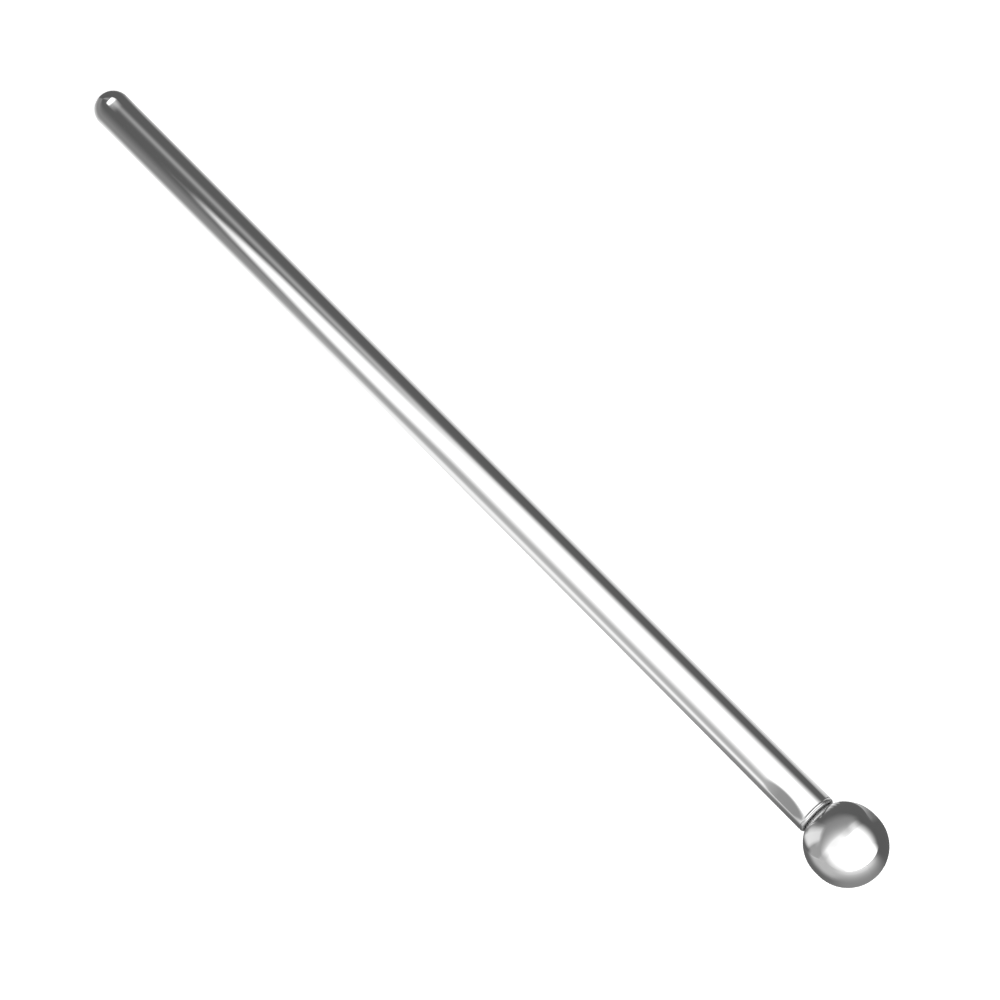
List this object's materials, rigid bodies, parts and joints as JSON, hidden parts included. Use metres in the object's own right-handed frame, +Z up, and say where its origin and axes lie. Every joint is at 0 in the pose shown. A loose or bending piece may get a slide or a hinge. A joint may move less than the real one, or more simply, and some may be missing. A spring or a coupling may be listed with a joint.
{
  "type": "stirring rod",
  "caption": "Straight, slightly tapered stirring rod of mirror-polished metal, domed at one end, with a slightly long round ball seated on the other.",
  "frame": {"origin": "on the rod's axis, halfway along its overall length", "axes": "+X along the axis towards the ball, +Z up; the rod is round, so its turn about X is free"},
  "size_m": [0.2, 0.0146, 0.0148],
  "materials": {
    "polished_shank": "mirror-polished stainless steel, drawn along the length",
    "polished_ball": "mirror-polished stainless steel, buffed all round"
  },
  "bodies": {
    "root": {"shank": "polished_shank", "ball": "polished_ball"}
  },
  "joints": []
}
